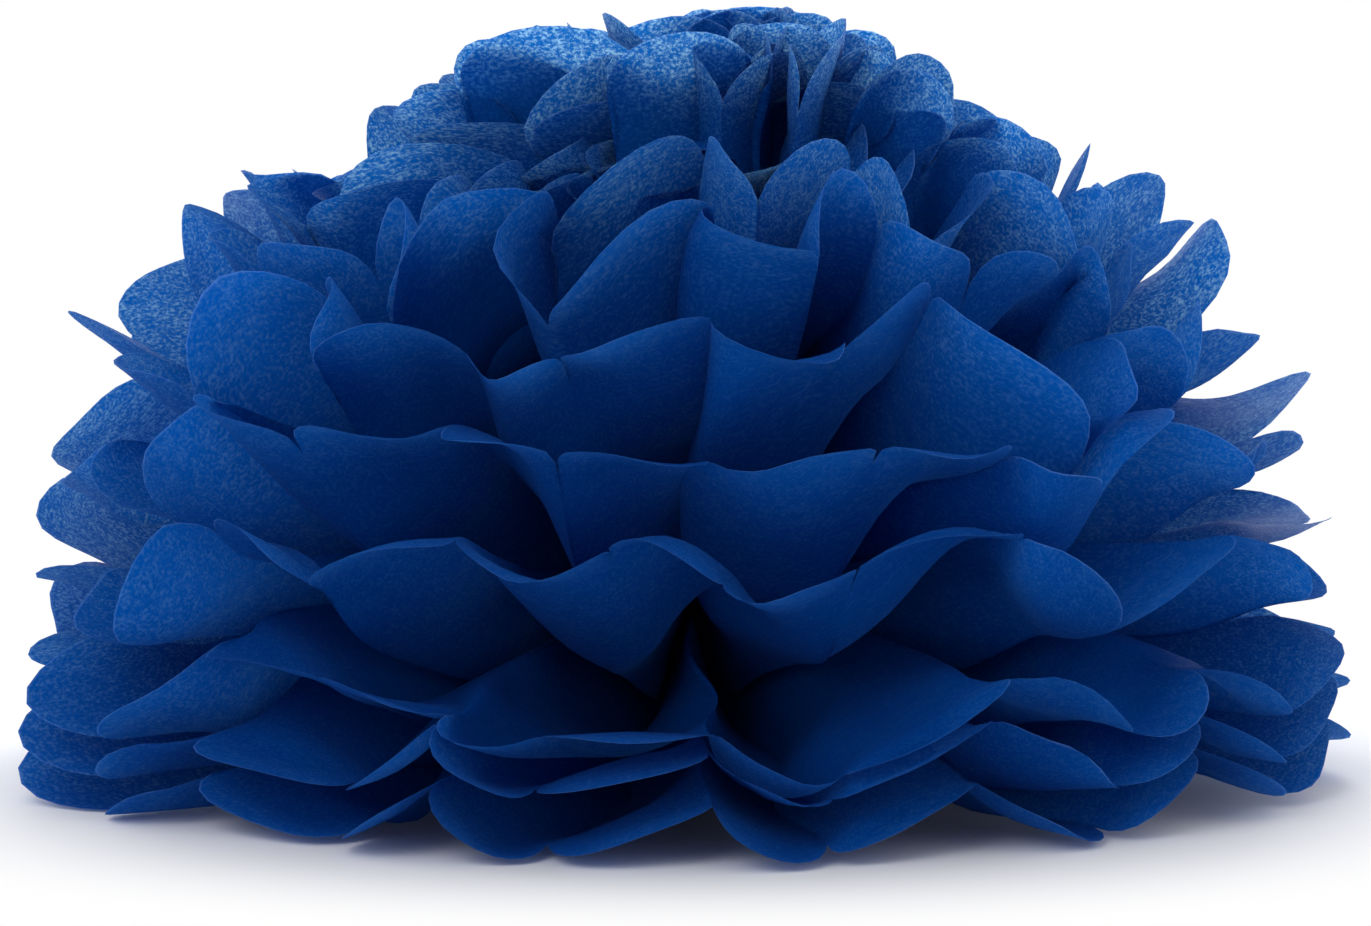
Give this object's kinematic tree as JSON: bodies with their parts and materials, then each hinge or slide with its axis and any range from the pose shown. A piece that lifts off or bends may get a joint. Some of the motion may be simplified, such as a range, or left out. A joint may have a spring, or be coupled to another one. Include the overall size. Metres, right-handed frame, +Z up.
{
  "type": "tissue paper pom pom",
  "caption": "Dome-shaped party decoration of accordion-folded tissue sheets with rounded petal ends, gathered by a wire at the middle.",
  "frame": {"origin": "middle of the footprint, on the surface that the pom pom lies on", "axes": "+Z up, -Y towards the front fans, X along the slit between the front and back fans"},
  "size_m": [0.3502, 0.3548, 0.1996],
  "materials": {
    "tissue": "thin translucent tissue, matte",
    "wire": "bare drawn wire"
  },
  "bodies": {
    "root": {"tissue_sheet_01": "tissue", "tissue_sheet_02": "tissue", "tissue_sheet_03": "tissue", "tissue_sheet_04": "tissue", "tissue_sheet_05": "tissue", "tissue_sheet_06": "tissue", "tissue_sheet_07": "tissue", "tissue_sheet_08": "tissue", "tissue_sheet_09": "tissue", "tissue_sheet_10": "tissue", "tissue_sheet_11": "tissue", "tissue_sheet_12": "tissue", "wire_tie": "wire"}
  },
  "joints": []
}
